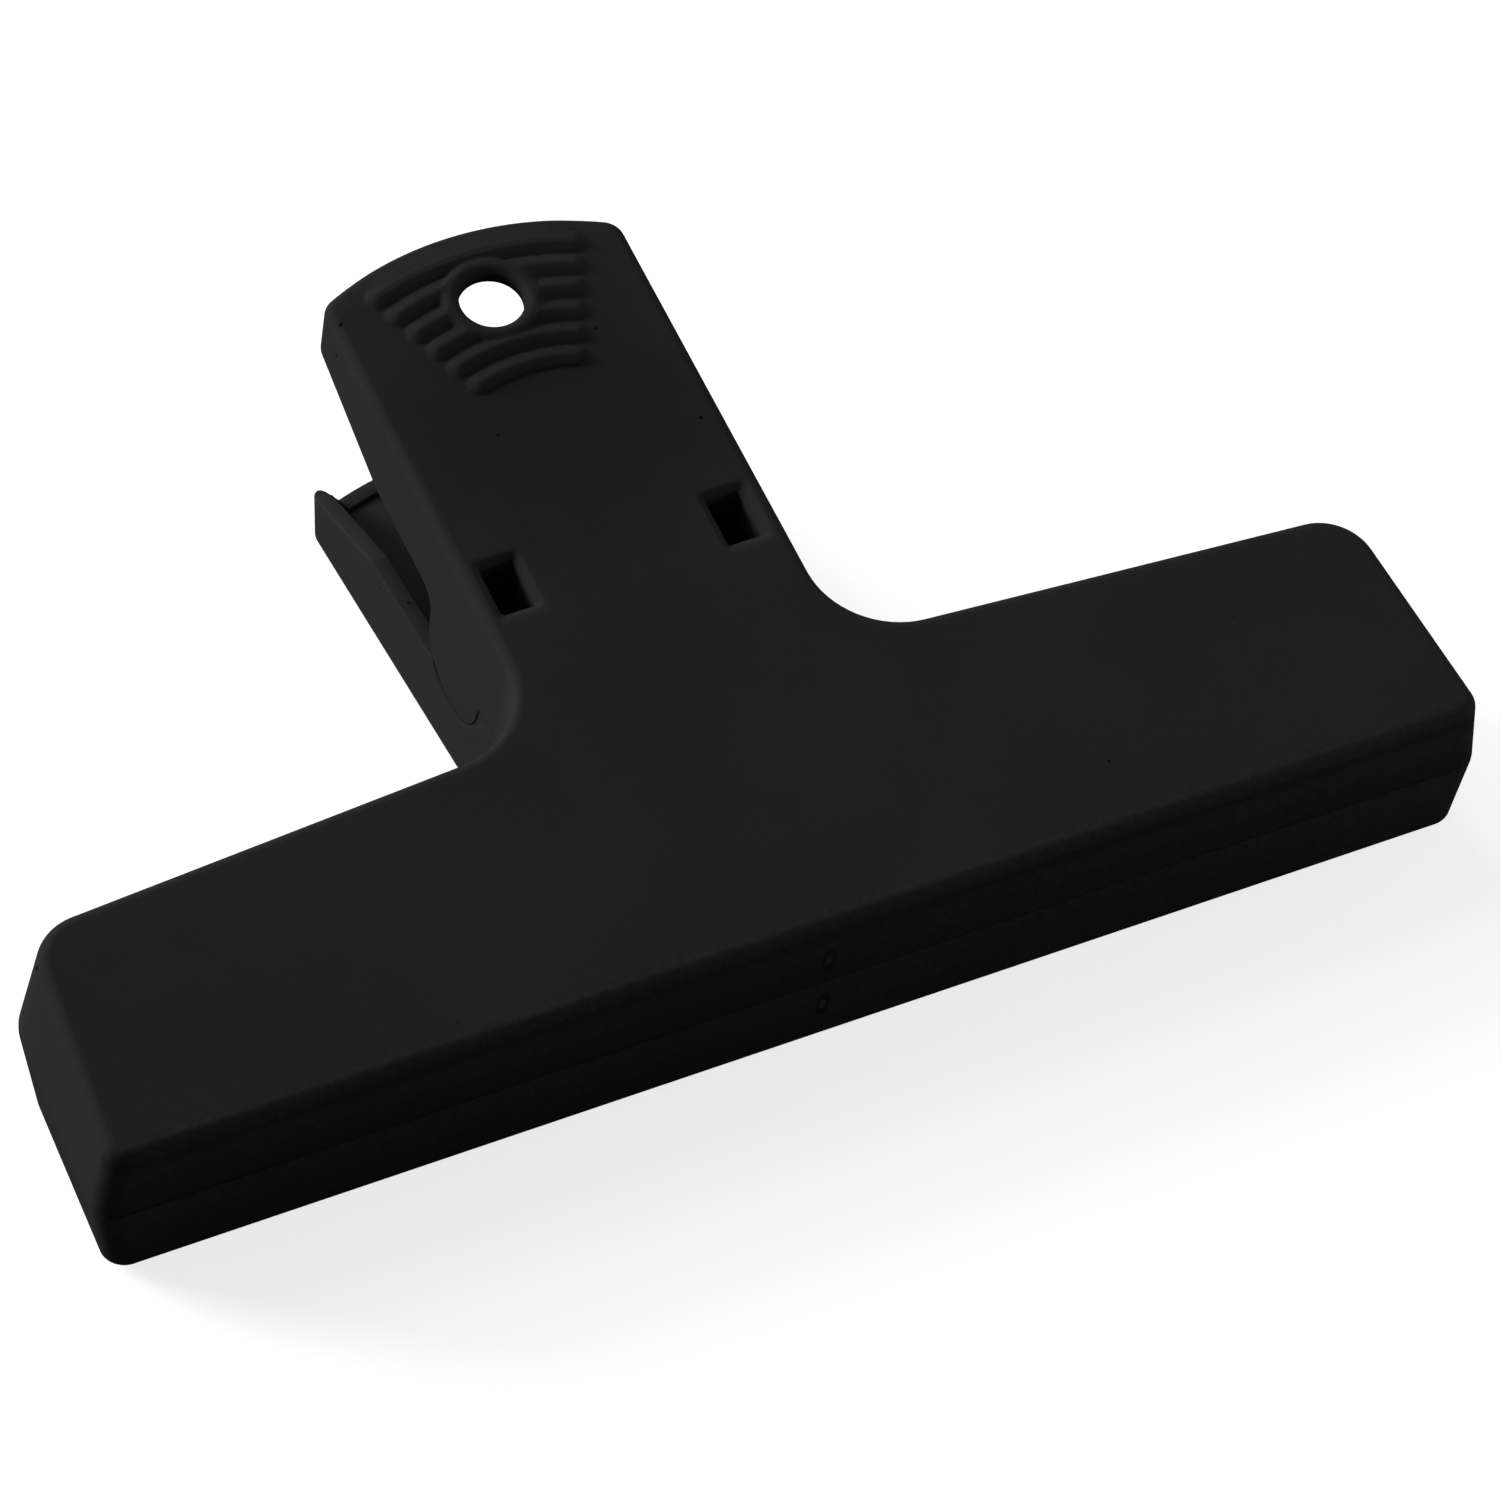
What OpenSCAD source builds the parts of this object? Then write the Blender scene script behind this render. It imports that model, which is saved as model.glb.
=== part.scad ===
// Spring clip with a wide bar jaw: two identical moulded halves, a hinge pin and a torsion spring.
// Millimetres. The clip lies closed on its lower half: X runs along the jaw, Y from the jaw's front edge
// back to the handle ends, Z up. The origin is under the middle of the clip.

/* [Jaw] */
// Width of the jaw bar's outer face
jaw_width = 152; // [120:0.5:180]
// Depth of the jaw bar from front edge to back edge at its ends
jaw_depth = 27.4; // [24:0.1:30]
// How much deeper the jaw bar is beside the handle than at its ends
neck_rise = 3.9; // [2:0.1:4.5]
// How much the jaw's end faces lean inwards on their way to the back edge
end_taper = 2; // [0:0.1:3]
// Depth of one half at its front edge, from its outer face to the parting plane
lip_depth = 9.5; // [8:0.1:11]
// How far the lip stands forward at the parting plane
nose = 1; // [0:0.1:1.5]
// How far the jaw's ends stand out sideways at the lip's parting plane
flare = 1.3; // [0:0.1:1.5]
// Angle between a half's outer face and the parting plane
half_angle = 6; // [5:0.1:7]

/* [Handle] */
// Width of the handle
handle_width = 34.4; // [33:0.2:40]
// Length of a half from the jaw's front edge to the tip of the handle
half_length = 92.4; // [90:0.2:100]
// Distance from the handle's tip to the centre that its end curve and grip ribs share
fan_radius = 36.9; // [34:0.1:40]
// Depth of the handle's skirt beside the hinge
skirt_depth = 11; // [10:0.1:11.5]
// Depth of the handle's skirt at its end
skirt_end = 5.5; // [5:0.1:8]
// Depth of the low wall across the handle's tip
tip_depth = 2.6; // [2.6:0.1:5]
// Distance from the front edge to the place where the skirt starts to narrow
skirt_knee = 71.5; // [66:0.5:76]

/* [Edges] */
// Rounding of the outer face's edges
edge_round = 1.2; // [0.6:0.1:1.6]
// Radius of the jaw's front corners
front_corner = 2.5; // [2.5:0.1:4]
// Radius of the jaw's back corners
back_corner = 5.8; // [4:0.1:9]
// Radius of the fillets between jaw and handle
neck_fillet = 9.5; // [5:0.5:10]
// Radius of the handle's end corners
handle_corner = 2.5; // [2.5:0.1:5]

/* [Walls] */
// Thickness of the outer face
plate = 2.1; // [1.8:0.1:2.6]
// Thickness of the skirt walls and ears
wall = 2; // [1.6:0.1:2.2]
// Thickness of the stiffening ribs inside
rib = 1.2; // [1:0.1:1.6]
// Height of the stiffening ribs inside
rib_height = 2.4; // [1:0.1:3]
// Half the gap between the closed halves at the parting plane
seam_gap = 0.08; // [0.05:0.01:0.2]

/* [Hinge] */
// Distance of the hinge axis behind the front edge, along the outer face
hinge_back = 50.1; // [49:0.1:51]
// Radius of the round ears
ear_radius = 6.2; // [5.5:0.1:6.5]
// Gap round an ear in the other half's skirt
ear_gap = 0.35; // [0.3:0.05:0.5]
// Radius of the hinge pin
pin_radius = 1.5; // [1.25:0.05:1.75]
// Running gap between the pin and its hooks
pin_gap = 0.05; // [0.02:0.01:0.09]
// Outer radius of the hooks that hold the pin
hook_radius = 3.9; // [3.6:0.1:4.2]
// Gap between neighbours along the pin
side_gap = 0.25; // [0.15:0.05:0.3]

/* [Spring] */
// Wire diameter
wire = 1.6; // [1.2:0.1:1.8]
// Mean radius of the coil
coil_radius = 3.7; // [3.4:0.1:4]
// Whole turns of the coil
coil_turns = 4; // [3:1:4]
// Distance between turns along the pin
coil_pitch = 2.4; // [2.3:0.05:2.6]
// Distance from the hinge axis to the end of a spring leg, along the outer face
leg_reach = 24; // [20:0.5:25]

/* [Grip] */
// Radius of the hang hole
hole_radius = 3.6; // [3:0.1:4]
// Distance of the hang hole from the handle's tip
hole_inset = 9.7; // [9.4:0.1:10.5]
// Height of the raised ring and grip ribs
grip_height = 0.65; // [0.4:0.05:0.8]
// Distance between grip ribs
grip_pitch = 3; // [2.8:0.05:3.1]
// Half the angle that the fan of grip ribs covers
grip_fan = 22.4; // [18:0.2:23]
// Width of a moulding window in front of the grip
window_width = 4.2; // [3.8:0.1:4.6]
// Length of a moulding window
window_length = 6.8; // [6:0.1:7.2]

/* [Hidden] */
plastic = [0.13, 0.13, 0.135];
steel = [0.72, 0.73, 0.75];

// How far joined shapes reach into each other, and how far cuts run past what they cut
lap = 0.5;
past = 5;

jaw_half = jaw_width / 2;
handle_half = handle_width / 2;
grip_ribs = 6;
// First grip rib's distance inside the handle's end curve
grip_edge = 3.65;
// Round section of the ring: its radius and how far its centre lies under the outer face.
// A rib's section is as high, and wider by rib_stretch.
bead_radius = 1.15;
bead_sink = bead_radius - grip_height;
rib_stretch = 1.29;
ring_radius = hole_radius + 1.05;
// The hang hole widens towards the inside by this much
hole_bevel = 1;
window_x = 12.85;
window_y = 48.7;
window_bevel = 0.7;
// Cross ribs inside each side of the jaw: how many, the first one's place and the distance between them
jaw_ribs = 3;
jaw_rib_first = 24;
jaw_rib_pitch = 17;
// Ribs inside the handle that guide the spring's legs: front end, length, height and gap to the leg
guide_front = 58;
guide_length = 18;
guide_height = 4;
guide_gap = 0.3;

// Depth of the parting plane under the outer face at distance y from the front edge
function part_depth(y) = lip_depth + y * tan(half_angle);
hinge_depth = part_depth(hinge_back);
fan_y = half_length - fan_radius;
hole_y = half_length - hole_inset;

// Slants of the jaw's end faces and back edges, as angles
end_slant = atan(end_taper / jaw_depth);
back_slant = atan(neck_rise / (jaw_half - end_taper - handle_half));

// Arc centres of the T outline's right side, each with its radius and the outward angles it spans.
// Back edge and end face are straight lines that the arcs touch.
end_line = (jaw_half - front_corner) * cos(end_slant) + front_corner * sin(end_slant) + front_corner;
back_line = handle_half * sin(back_slant) + (jaw_depth + neck_rise) * cos(back_slant);
function meet(a, la, b, lb) = [
    (la * sin(b) - lb * sin(a)) / sin(b - a),
    (lb * cos(a) - la * cos(b)) / sin(b - a)
];
back_centre = meet(end_slant, end_line - back_corner, 90 - back_slant, back_line - back_corner);
neck_x = handle_half + neck_fillet;
neck_y = (back_line + neck_fillet - neck_x * sin(back_slant)) / cos(back_slant);
tip_x = handle_half - handle_corner;
tip_y = fan_y + sqrt(pow(fan_radius - handle_corner, 2) - pow(tip_x, 2));
tip_angle = atan2(tip_y - fan_y, tip_x);

// Hooks: width along the pin, length of the foot in front of a window, how far the mouth grips the pin
// on each side, and the angle of the mouth under the line to the handle
hook_thick = 1.8;
hook_foot = 4.3;
hook_grip = 0.2;
hook_mouth = 40;
// Where the foot's back and front edges run into the hook's circle, as angles from the handle's direction
hook_back_angle = 255;
hook_front_angle = 170;

// The ear's back stands straight for ear_heel before its fillet. The recess starts mouth_lead in front of
// the turning ear and slants down to the ear's circle at mouth_angle.
ear_heel = 1.2;
mouth_lead = 1.6;
mouth_angle = 236;

// Spring: each leg leaves the coil on a tangent and ends on the inside of its handle's outer face.
// The upper leg mirrors the lower one across the parting plane, and the helix turns between them.
leg_gap = 0.15;
leg_end = [leg_reach, plate + wire / 2 + leg_gap - hinge_depth];
leg_angle = atan2(leg_end[1], leg_end[0]) + asin(coil_radius / norm(leg_end));
first_turn = leg_angle - 90;
coil_sweep = 360 * coil_turns + 360 + 2 * first_turn - 2 * half_angle;
leg_x = coil_sweep / 360 * coil_pitch / 2;
upper_angle = 2 * half_angle - leg_angle;
leg_length = sqrt(pow(norm(leg_end), 2) - pow(coil_radius, 2));
coil_steps = ceil(coil_sweep / 30);
function on_coil(a, x) = [x, coil_radius * cos(a), coil_radius * sin(a)];
function leg_point(a, x, along) = on_coil(a - 90, x) + along * [0, cos(a), sin(a)];
helix = [
    for (k = [0:coil_steps])
        on_coil(first_turn - coil_sweep * k / coil_steps, leg_x * (1 - 2 * k / coil_steps))
];
upper_leg = [for (along = [leg_length / 3, leg_length * 2 / 3, leg_length])
    [-leg_x, 0, 0] + coil_radius * [0, cos(upper_angle + 90), sin(upper_angle + 90)]
        + along * [0, cos(upper_angle), sin(upper_angle)]];
lower_leg = [for (along = [leg_length, leg_length * 2 / 3, leg_length / 3]) leg_point(leg_angle, leg_x, along)];
spring_path = concat(lower_leg, helix, upper_leg);
half_turn = ceil(coil_steps * 180 / coil_sweep);
spring_gap = min([
    for (i = [0:len(spring_path) - 1 - half_turn])
        for (j = [i + half_turn:len(spring_path) - 1])
            norm(spring_path[i] - spring_path[j])
]) - wire;

// Right side arcs as [centre, radius, first angle, last angle, steps, lean]. A negative radius is a hollow
// arc. Lean is how far the arc has moved where it is as deep as the lip.
right_arcs = [
    [[jaw_half - front_corner, front_corner], front_corner, -90, end_slant, 6, [flare, -nose]],
    [back_centre, back_corner, end_slant, 90 - back_slant, 10, [flare, 0]],
    [[neck_x, neck_y], -neck_fillet, 90 - back_slant, 0, 10, [0, 0]],
    [[tip_x, tip_y], handle_corner, 0, tip_angle, 6, [0, 0]]
];
function flipped(p) = [-p[0], p[1]];
function mirrored(arc) = [flipped(arc[0]), arc[1], 180 - arc[3], 180 - arc[2], arc[4], flipped(arc[5])];
outline_arcs = concat(
    right_arcs,
    [[[0, fan_y], fan_radius, tip_angle, 180 - tip_angle, 16, [0, 0]]],
    [for (i = [len(right_arcs) - 1:-1:0]) mirrored(right_arcs[i])]
);

// Points of the T outline at a depth under the outer face, moved inwards by inset
function arc_points(arc, depth, inset) = [
    for (k = [0:arc[4]])
        let (a = arc[2] + (arc[3] - arc[2]) * k / arc[4])
        arc[0] + arc[5] * depth / lip_depth + (arc[1] - inset) * [cos(a), sin(a)]
];
function outline(depth, inset) = [for (arc = outline_arcs) each arc_points(arc, depth, inset)];

// Solid through a stack of outlines, each level given as [depth, inset]
module outline_stack(levels) {
    rings = [for (level = levels) outline(level[0], level[1])];
    count = len(rings[0]);
    top = len(levels) - 1;
    points = [for (k = [0:top]) for (p = rings[k]) [p[0], p[1], levels[k][0]]];
    sides = [
        for (k = [0:top - 1]) for (i = [0:count - 1])
            let (j = (i + 1) % count)
            let (a = k * count)
            each [[a + j, a + i, a + count + i], [a + j, a + count + i, a + count + j]]
    ];
    // The outline mirrors left to right, so each end is closed by strips from a point to its mirror point
    strips = [
        for (i = [0:floor(count / 2) - 1])
            let (j = count - 1 - i)
            i + 1 == j - 1 ? [i, i + 1, j] : [i, i + 1, j - 1, j]
    ];
    lid = [for (s = strips) [for (k = [len(s) - 1:-1:0]) top * count + s[k]]];
    polyhedron(points, concat(strips, lid, sides), convexity = 10);
}

// Round bar through the points of a path, with a radius at each. The side vector is never along the path.
// Stretch makes the bar's section wider across the side vector.
module swept(path, radii, side, sides, stretch = 1) {
    last = len(path) - 1;
    function unit(v) = v / norm(v);
    rings = [
        for (i = [0:last])
            let (t = unit(path[min(i + 1, last)] - path[max(i - 1, 0)]))
            let (n = unit(side - t * (t * side)))
            let (b = cross(t, n))
            for (k = [0:sides - 1])
                let (a = 360 * k / sides)
                path[i] + radii[i] * (cos(a) * n + stretch * sin(a) * b)
    ];
    faces = [
        for (i = [0:last - 1]) for (k = [0:sides - 1])
            let (j = (k + 1) % sides)
            let (a = i * sides)
            each [[a + j, a + k, a + sides + j], [a + k, a + sides + k, a + sides + j]]
    ];
    start = [for (k = [0:sides - 1]) k];
    end = [for (k = [sides - 1:-1:0]) last * sides + k];
    polyhedron(rings, concat([start, end], faces), convexity = 10);
}

// A flat shape given in Y and Z, made solid from x0 to x1
module along_x(x0, x1) {
    translate([x0, 0, 0]) rotate([90, 0, 90]) linear_extrude(height = x1 - x0) children();
}

// Side view of a half without its ear: outer face below, parting plane and skirt edge above
module skirt_profile() {
    far = half_length + past;
    fall = (skirt_depth - skirt_end) / (half_length - skirt_knee);
    polygon([
        [-past, -past],
        [far, -past],
        [far, skirt_end - past * fall],
        [skirt_knee, skirt_depth],
        [hinge_back, skirt_depth],
        [hinge_back, hinge_depth - seam_gap],
        [-past, part_depth(-past) - seam_gap]
    ]);
}

// Side view of the ear with the fillet that joins it to the skirt behind it
module ear_profile() {
    fillet = hinge_depth - skirt_depth - ear_heel;
    back = hinge_back + ear_radius;
    translate([hinge_back, hinge_depth]) circle(r = ear_radius, $fn = 64);
    translate([hinge_back, skirt_depth - lap]) square([ear_radius, hinge_depth - skirt_depth + lap]);
    difference() {
        translate([back - lap, skirt_depth - lap]) square([fillet + lap, fillet + lap]);
        translate([back + fillet, skirt_depth + fillet]) circle(r = fillet, $fn = 64);
    }
}

// Side view of the recess in which the other half's ear turns, wider in front of it
module recess_profile() {
    turn = ear_radius + ear_gap;
    mouth = hinge_back - turn - mouth_lead;
    translate([hinge_back, hinge_depth]) circle(r = turn, $fn = 64);
    polygon([
        [mouth, part_depth(mouth) + lap],
        [mouth, part_depth(mouth) - seam_gap],
        [hinge_back + turn * cos(mouth_angle), hinge_depth + turn * sin(mouth_angle)],
        [hinge_back, hinge_depth],
        [hinge_back, hinge_depth + lap]
    ]);
}

// Outer body: rounded T outline, cut to the side view, hollow inside
module shell() {
    steps = 5;
    rounding = [
        for (k = [0:steps])
            let (a = 90 * k / steps)
            [edge_round * (1 - cos(a)), edge_round * (1 - sin(a))]
    ];
    deep = hinge_depth + ear_radius + past;
    difference() {
        intersection() {
            outline_stack(concat(rounding, [[deep, 0]]));
            union() {
                along_x(-jaw_width, jaw_width) skirt_profile();
                along_x(handle_half - wall - lap, handle_half + lap) ear_profile();
            }
        }
        outline_stack([[plate, wall], [deep + lap, wall]]);
        along_x(-handle_half - lap, -handle_half + wall + lap) recess_profile();
        translate([-tip_x, fan_y, tip_depth]) cube([2 * tip_x, fan_radius + lap, deep]);
    }
}

// Stations along a grip rib of radius r between two angles: [angle, radius of the round section].
// An end inside the ring keeps its section, and a free end is rounded off.
function rib_end(r, at, inwards) = [
    for (a = [20, 50, 80])
        let (along = rib_stretch * bead_radius * (1 - cos(a)))
        [at + inwards * along / r * 180 / PI, bead_radius * sin(a)]
];
function reversed(list) = [for (i = [len(list) - 1:-1:0]) list[i]];
function rib_stations(r, from, to) =
    let (n = floor(abs(to - from) / 4.5))
    concat(
        from == -grip_fan ? rib_end(r, from, 1) : [[from, bead_radius]],
        [for (k = [1:n - 1]) [from + (to - from) * k / n, bead_radius]],
        to == grip_fan ? reversed(rib_end(r, to, -1)) : [[to, bead_radius]]
    );

// Raised arcs across the end of the handle. Those that meet the ring round the hang hole end at its crest.
module grip_rib(r) {
    d = hole_y - fan_y;
    meets = abs(r - d) < ring_radius;
    inner = meets ? acos((r * r + d * d - ring_radius * ring_radius) / (2 * r * d)) : 0;
    for (span = meets ? [[-grip_fan, -inner], [inner, grip_fan]] : [[-grip_fan, grip_fan]]) {
        stations = rib_stations(r, span[0], span[1]);
        swept(
            [for (s = stations) [r * sin(s[0]), fan_y + r * cos(s[0]), bead_sink]],
            [for (s = stations) s[1]],
            [0, 0, 1],
            12,
            rib_stretch
        );
    }
}

module grip() {
    for (k = [0:grip_ribs - 1])
        grip_rib(fan_radius - grip_edge - grip_pitch * k);
    translate([0, hole_y, bead_sink])
        rotate_extrude($fn = 64)
            translate([ring_radius, 0]) circle(r = bead_radius, $fn = 24);
}

// Through window with a bevelled rim at the outer face
module window(x) {
    a = window_width / 2;
    b = window_length / 2;
    c = window_bevel;
    translate([x, window_y, 0]) {
        translate([-a, -b, -lap]) cube([2 * a, 2 * b, plate + 2 * lap]);
        polyhedron(
            [
                [-a - c, -b - c, -0.01], [a + c, -b - c, -0.01], [a + c, b + c, -0.01], [-a - c, b + c, -0.01],
                [-a, -b, c], [a, -b, c], [a, b, c], [-a, b, c]
            ],
            [[0, 1, 2, 3], [7, 6, 5, 4], [1, 0, 4, 5], [2, 1, 5, 6], [3, 2, 6, 7], [0, 3, 7, 4]]
        );
    }
}

// Hook that reaches down behind a window and holds the pin, open on the side towards the handle
module hook(x0) {
    arm_back = window_y - window_length / 2 - side_gap;
    arm_front = arm_back - hook_foot;
    function on_circle(a) = [hinge_back + hook_radius * cos(a), hinge_depth + hook_radius * sin(a)];
    along_x(x0, x0 + hook_thick)
        difference() {
            union() {
                translate([hinge_back, hinge_depth]) circle(r = hook_radius, $fn = 64);
                polygon([
                    [arm_front, plate - lap],
                    [arm_back, plate - lap],
                    on_circle(hook_back_angle),
                    on_circle(hook_front_angle)
                ]);
            }
            translate([hinge_back, hinge_depth]) {
                circle(r = pin_radius + pin_gap, $fn = 64);
                rotate(-hook_mouth)
                    translate([0, hook_grip - pin_radius])
                        square([2 * hook_radius, 2 * (pin_radius - hook_grip)]);
            }
        }
}

// Low stiffening ribs inside, rooted in the outer face and the walls
module inner_ribs() {
    root = 0.3;
    module bar(x, y, long, deep, high) {
        translate([x, y, plate - root]) cube([long, deep, high + root]);
    }
    for (side = [-1, 1]) {
        for (k = [0:jaw_ribs - 1]) {
            x = jaw_rib_first + jaw_rib_pitch * k;
            back = jaw_depth + (jaw_half - end_taper - x) * tan(back_slant) - wall / 2;
            bar(side * x - rib / 2, wall / 2, rib, back - wall / 2, rib_height);
        }
        guide = side * (wire / 2 + guide_gap + rib / 2);
        for (x = [leg_x, -leg_x])
            bar(x + guide - rib / 2, guide_front, rib, guide_length, guide_height);
    }
    bar(-jaw_half + end_taper + wall / 2, jaw_depth / 2, jaw_width - 2 * end_taper - wall, rib, rib_height);
    bar(-handle_half + wall / 2, neck_y, handle_width - wall, rib, rib_height);
}

// One moulding in its own frame: outer face down at Z = 0, ear on the right
module half() {
    outboard = handle_half - wall - side_gap;
    difference() {
        union() {
            shell();
            grip();
            inner_ribs();
        }
        translate([0, hole_y, -past]) cylinder(r = hole_radius, h = plate + 2 * past, $fn = 64);
        translate([0, hole_y, plate - hole_bevel])
            cylinder(r1 = hole_radius, r2 = hole_radius + 2 * hole_bevel, h = 2 * hole_bevel, $fn = 64);
        window(window_x);
        window(-window_x);
    }
    hook(-outboard);
    hook(outboard - 2 * hook_thick - side_gap);
}

// Places in the closed clip: the lower half lies on its grip ribs, the upper half is the same moulding
// turned over and tilted about the hinge
front_end = hinge_back - (hinge_back + nose * edge_round / lip_depth) * cos(2 * half_angle)
    - (hinge_depth - edge_round) * sin(2 * half_angle);
centre_y = (half_length + front_end) / 2;
module in_place() {
    translate([0, -centre_y, grip_height]) children();
}
module at_hinge() {
    in_place() translate([0, hinge_back, hinge_depth]) children();
}

module lower_half() {
    color(plastic) in_place() half();
}

module upper_half() {
    color(plastic)
        at_hinge()
            rotate([2 * half_angle, 0, 0])
                rotate([0, 180, 0])
                    translate([0, -hinge_back, -hinge_depth]) half();
}

// Hinge pin with chamfered ends, held endways between the ears
module pivot_pin() {
    reach = handle_half - wall - side_gap;
    chamfer = 0.3;
    color(steel)
        at_hinge()
            rotate([0, 90, 0])
                rotate_extrude($fn = 48)
                    polygon([
                        [0, -reach],
                        [pin_radius - chamfer, -reach],
                        [pin_radius, -reach + chamfer],
                        [pin_radius, reach - chamfer],
                        [pin_radius - chamfer, reach],
                        [0, reach]
                    ]);
}

// Torsion spring: lower leg, helix round the pin, upper leg. All of it is given about the hinge axis.
module torsion_spring() {
    echo(spring_gap_to_itself = spring_gap);
    color(steel) at_hinge() swept(spring_path, [for (p = spring_path) wire / 2], [1, 0, 0], 8);
}

lower_half();
upper_half();
pivot_pin();
torsion_spring();
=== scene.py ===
"""Spring clip with a wide bar jaw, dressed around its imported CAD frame. Sizes are in millimetres."""

import math

import bpy
import numpy as np
from mathutils import Matrix, Vector


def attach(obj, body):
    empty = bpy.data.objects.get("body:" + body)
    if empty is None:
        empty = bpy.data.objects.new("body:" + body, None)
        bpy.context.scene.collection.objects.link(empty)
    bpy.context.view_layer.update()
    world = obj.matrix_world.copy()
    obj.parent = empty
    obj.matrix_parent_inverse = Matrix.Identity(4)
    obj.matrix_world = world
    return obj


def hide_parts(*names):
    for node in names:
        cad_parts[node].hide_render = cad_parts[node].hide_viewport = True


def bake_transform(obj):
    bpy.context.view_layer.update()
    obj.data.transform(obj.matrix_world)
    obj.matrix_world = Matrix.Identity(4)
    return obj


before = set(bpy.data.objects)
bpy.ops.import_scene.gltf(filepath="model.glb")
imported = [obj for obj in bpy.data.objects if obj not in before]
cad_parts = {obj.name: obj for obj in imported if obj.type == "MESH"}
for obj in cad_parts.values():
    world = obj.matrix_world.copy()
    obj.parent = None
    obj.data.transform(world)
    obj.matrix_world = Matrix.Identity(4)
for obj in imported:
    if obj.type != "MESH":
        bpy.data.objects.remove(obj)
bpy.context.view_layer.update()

# ---- The moulding's T outline ----
# Both halves are one injection moulding of black plastic, used twice and turned over. Its outer face is a
# T: a bar jaw with slightly tapered ends, hollow fillets at the neck and a handle with an arched tip.
# The outer face lies at depth 0, and depth grows towards the parting plane where the halves meet.
JAW_HALF, JAW_DEPTH, NECK_RISE, END_TAPER = 76.0, 27.4, 3.9, 2.0
LIP_DEPTH, NOSE, FLARE, HALF_ANGLE = 9.5, 1.0, 1.3, math.radians(6)
HANDLE_HALF, LENGTH, FAN_RADIUS = 17.2, 92.4, 36.9
FAN_Y = LENGTH - FAN_RADIUS
FRONT_CORNER, BACK_CORNER, NECK_FILLET, TIP_CORNER = 2.5, 5.8, 9.5, 2.5
EDGE, PLATE, WALL = 1.2, 2.1, 2.0
# The face's grid: rows arch from ARCH_START on, the hang hole's square reaches HOLE_BLOCK to each side, and
# a row nearer to the handle's corners than TOO_CLOSE of its length is left out
ARCH_START, ARCH_RADIUS, HOLE_BLOCK, TOO_CLOSE = 53, 17, 6.4, 0.002

end_slant = math.atan(END_TAPER / JAW_DEPTH)
back_slant = math.atan(NECK_RISE / (JAW_HALF - END_TAPER - HANDLE_HALF))
end_line = (JAW_HALF - FRONT_CORNER) * math.cos(end_slant) + FRONT_CORNER * (1 + math.sin(end_slant))
back_line = HANDLE_HALF * math.sin(back_slant) + (JAW_DEPTH + NECK_RISE) * math.cos(back_slant)
front_centre = (JAW_HALF - FRONT_CORNER, FRONT_CORNER)
back_centre = np.linalg.solve(
    [[math.cos(end_slant), math.sin(end_slant)], [math.sin(back_slant), math.cos(back_slant)]],
    [end_line - BACK_CORNER, back_line - BACK_CORNER],
)
neck_x = HANDLE_HALF + NECK_FILLET
neck_y = (back_line + NECK_FILLET - neck_x * math.sin(back_slant)) / math.cos(back_slant)
tip_x = HANDLE_HALF - TIP_CORNER
tip_y = FAN_Y + math.sqrt((FAN_RADIUS - TIP_CORNER) ** 2 - tip_x**2)
tip_angle = math.atan2(tip_y - FAN_Y, tip_x)


def right_side(inset, handle_ys, fine):
    """Right side of the T from the front corner to the tip corner: arcs joined by straight lines.

    Each arc point is centre + (radius - inset) * direction. Returns points, outward directions and leans,
    where lean is how far a point has moved sideways and forwards once it is as deep as the lip."""
    arcs = [
        (front_centre, FRONT_CORNER, -math.pi / 2, end_slant, 10, (FLARE, -NOSE)),
        (back_centre, BACK_CORNER, end_slant, math.pi / 2 - back_slant, 16, (FLARE, 0)),
        ((neck_x, neck_y), -NECK_FILLET, math.pi / 2 - back_slant, 0, 16, (0, 0)),
        ((tip_x, tip_y), TIP_CORNER, 0, tip_angle, 10, (0, 0)),
    ]
    parts = []
    for centre, radius, first, last, steps, lean in arcs:
        a = np.linspace(first, last, max(3, int(steps * fine)) + 1)
        out = np.stack([np.cos(a), np.sin(a)], 1)
        parts.append(np.hstack([centre + (radius - inset) * out, out, np.tile(lean, (len(a), 1))]))
    filled = [parts[0]]
    for before, after, steps in zip(parts, parts[1:], (8, 14, None)):
        if steps:
            t = np.linspace(0, 1, max(2, int(steps * fine)) + 1)[1:-1, None]
        else:
            t = ((handle_ys - before[-1, 1]) / (after[0, 1] - before[-1, 1]))[:, None]
            t = t[(t[:, 0] > TOO_CLOSE) & (t[:, 0] < 1 - TOO_CLOSE)]
        filled += [before[-1] + t * (after[0] - before[-1]), after]
    side = np.vstack(filled)
    return side[:, :2], side[:, 2:4], side[:, 4:]


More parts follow.
